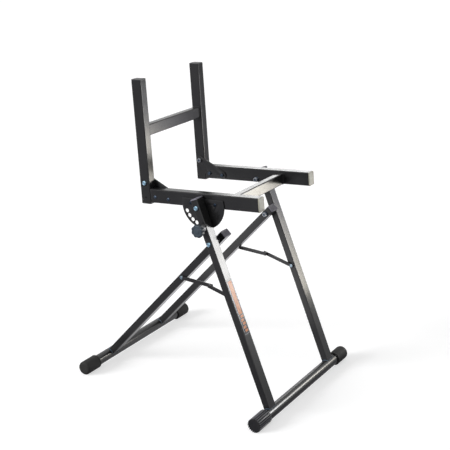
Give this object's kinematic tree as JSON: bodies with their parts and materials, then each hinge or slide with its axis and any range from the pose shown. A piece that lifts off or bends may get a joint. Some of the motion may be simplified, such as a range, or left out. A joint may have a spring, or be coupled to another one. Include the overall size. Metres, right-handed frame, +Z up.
{
  "type": "folding tilt stand",
  "caption": "Folding tubular steel stand whose two-arm cradle tilts and locks on a drilled disc, with hinged rear legs, folding braces and a fold-forward backrest, for a small cabinet.",
  "frame": {"origin": "on the floor, midway between the four foot caps", "axes": "+Z up, +Y towards the rear legs and the backrest, +X across the stand away from the side with the tilt lock"},
  "size_m": [0.5, 0.597, 0.8396],
  "materials": {
    "black_paint": "gloss",
    "rubber": "matte",
    "black_plastic": "satin",
    "pale_plastic": "satin",
    "zinc_steel": "satin, zinc plated"
  },
  "bodies": {
    "front_frame": {"front_leg_left": "black_paint", "front_leg_right": "black_paint", "front_foot_bar": "black_paint", "front_cap_right": "rubber", "front_leg_plugs": "black_plastic", "fold_bolts": "zinc_steel", "fold_spacers": "zinc_steel", "fold_washers": "zinc_steel", "fold_nuts": "zinc_steel", "front_brace_rivets": "zinc_steel", "tilt_bolts": "zinc_steel", "tilt_washers": "zinc_steel", "tilt_nuts": "zinc_steel", "tilt_spacer": "zinc_steel", "lock_bushing": "zinc_steel"},
    "levelling_cap": {"levelling_cap": "rubber"},
    "rear_frame": {"rear_leg_left": "black_paint", "rear_leg_right": "black_paint", "rear_foot_bar": "black_paint", "rear_cap_left": "rubber", "rear_cap_right": "rubber", "rear_leg_plugs": "black_plastic", "rear_brace_rivets": "zinc_steel"},
    "left_front_link": {"front_link_left": "black_paint", "link_pivot_left": "black_paint"},
    "right_front_link": {"front_link_right": "black_paint", "link_pivot_right": "black_paint"},
    "left_rear_link": {"rear_link_left": "black_paint", "link_head_left": "black_paint"},
    "right_rear_link": {"rear_link_right": "black_paint", "link_head_right": "black_paint"},
    "cradle": {"tilt_disc": "black_paint", "disc_screws": "zinc_steel", "arm_left": "black_paint", "arm_right": "black_paint", "arm_front_plugs": "pale_plastic", "arm_back_plugs": "black_plastic", "front_crossbar": "black_paint", "hinge_plate_left": "black_paint", "hinge_plate_right": "black_paint", "plate_bolts_and_nuts": "zinc_steel", "backrest_bolts": "zinc_steel", "backrest_nuts": "zinc_steel"},
    "backrest": {"upright_left": "black_paint", "upright_right": "black_paint", "upright_plugs": "black_plastic", "backrest_crossbar": "black_paint"},
    "lock_plunger": {"lock_pin": "zinc_steel", "lock_knob": "black_plastic"}
  },
  "joints": [
    {"name": "rear_legs_fold", "type": "hinge", "parent": "front_frame", "child": "rear_frame", "pos_m": [0, -0.09105, 0.44973], "axis": [-1, 0, 0], "range_deg": [0, 61.2]},
    {"name": "left_front_link_turn", "type": "hinge", "parent": "front_frame", "child": "left_front_link", "pos_m": [-0.148, -0.1571, 0.29853], "axis": [1, 0, 0], "range_deg": [0, 53.15]},
    {"name": "right_front_link_turn", "type": "hinge", "parent": "front_frame", "child": "right_front_link", "pos_m": [0.148, -0.1571, 0.29853], "axis": [1, 0, 0], "range_deg": [0, 53.15]},
    {"name": "left_rear_link_turn", "type": "hinge", "parent": "rear_frame", "child": "left_rear_link", "pos_m": [-0.136, 0.02111, 0.31933], "axis": [-1, 0, 0], "range_deg": [0, 48.16]},
    {"name": "right_rear_link_turn", "type": "hinge", "parent": "rear_frame", "child": "right_rear_link", "pos_m": [0.136, 0.02111, 0.31933], "axis": [-1, 0, 0], "range_deg": [0, 48.16]},
    {"name": "cradle_tilt", "type": "hinge", "parent": "front_frame", "child": "cradle", "pos_m": [0, -0.05181, 0.53954], "axis": [-1, 0, 0], "range_deg": [0, 58.4]},
    {"name": "backrest_fold", "type": "hinge", "parent": "cradle", "child": "backrest", "pos_m": [0, 0.13394, 0.56494], "axis": [1, 0, 0], "range_deg": [0, 89]},
    {"name": "lock_slide", "type": "slide", "parent": "front_frame", "child": "lock_plunger", "axis": [1, 0, 0], "range_m": [0, 0.0074]},
    {"name": "levelling_cap_turn", "type": "hinge", "parent": "front_frame", "child": "levelling_cap", "pos_m": [-0.22, -0.27901, 0.0195], "axis": [1, 0, 0], "range_deg": [-90, 90]}
  ],
  "couplings": [
    {"joint": "left_front_link_turn", "follows": "rear_legs_fold", "ratio": 0.8677},
    {"joint": "right_front_link_turn", "follows": "rear_legs_fold", "ratio": 0.8677},
    {"joint": "left_rear_link_turn", "follows": "rear_legs_fold", "ratio": 0.78618},
    {"joint": "right_rear_link_turn", "follows": "rear_legs_fold", "ratio": 0.78618}
  ]
}
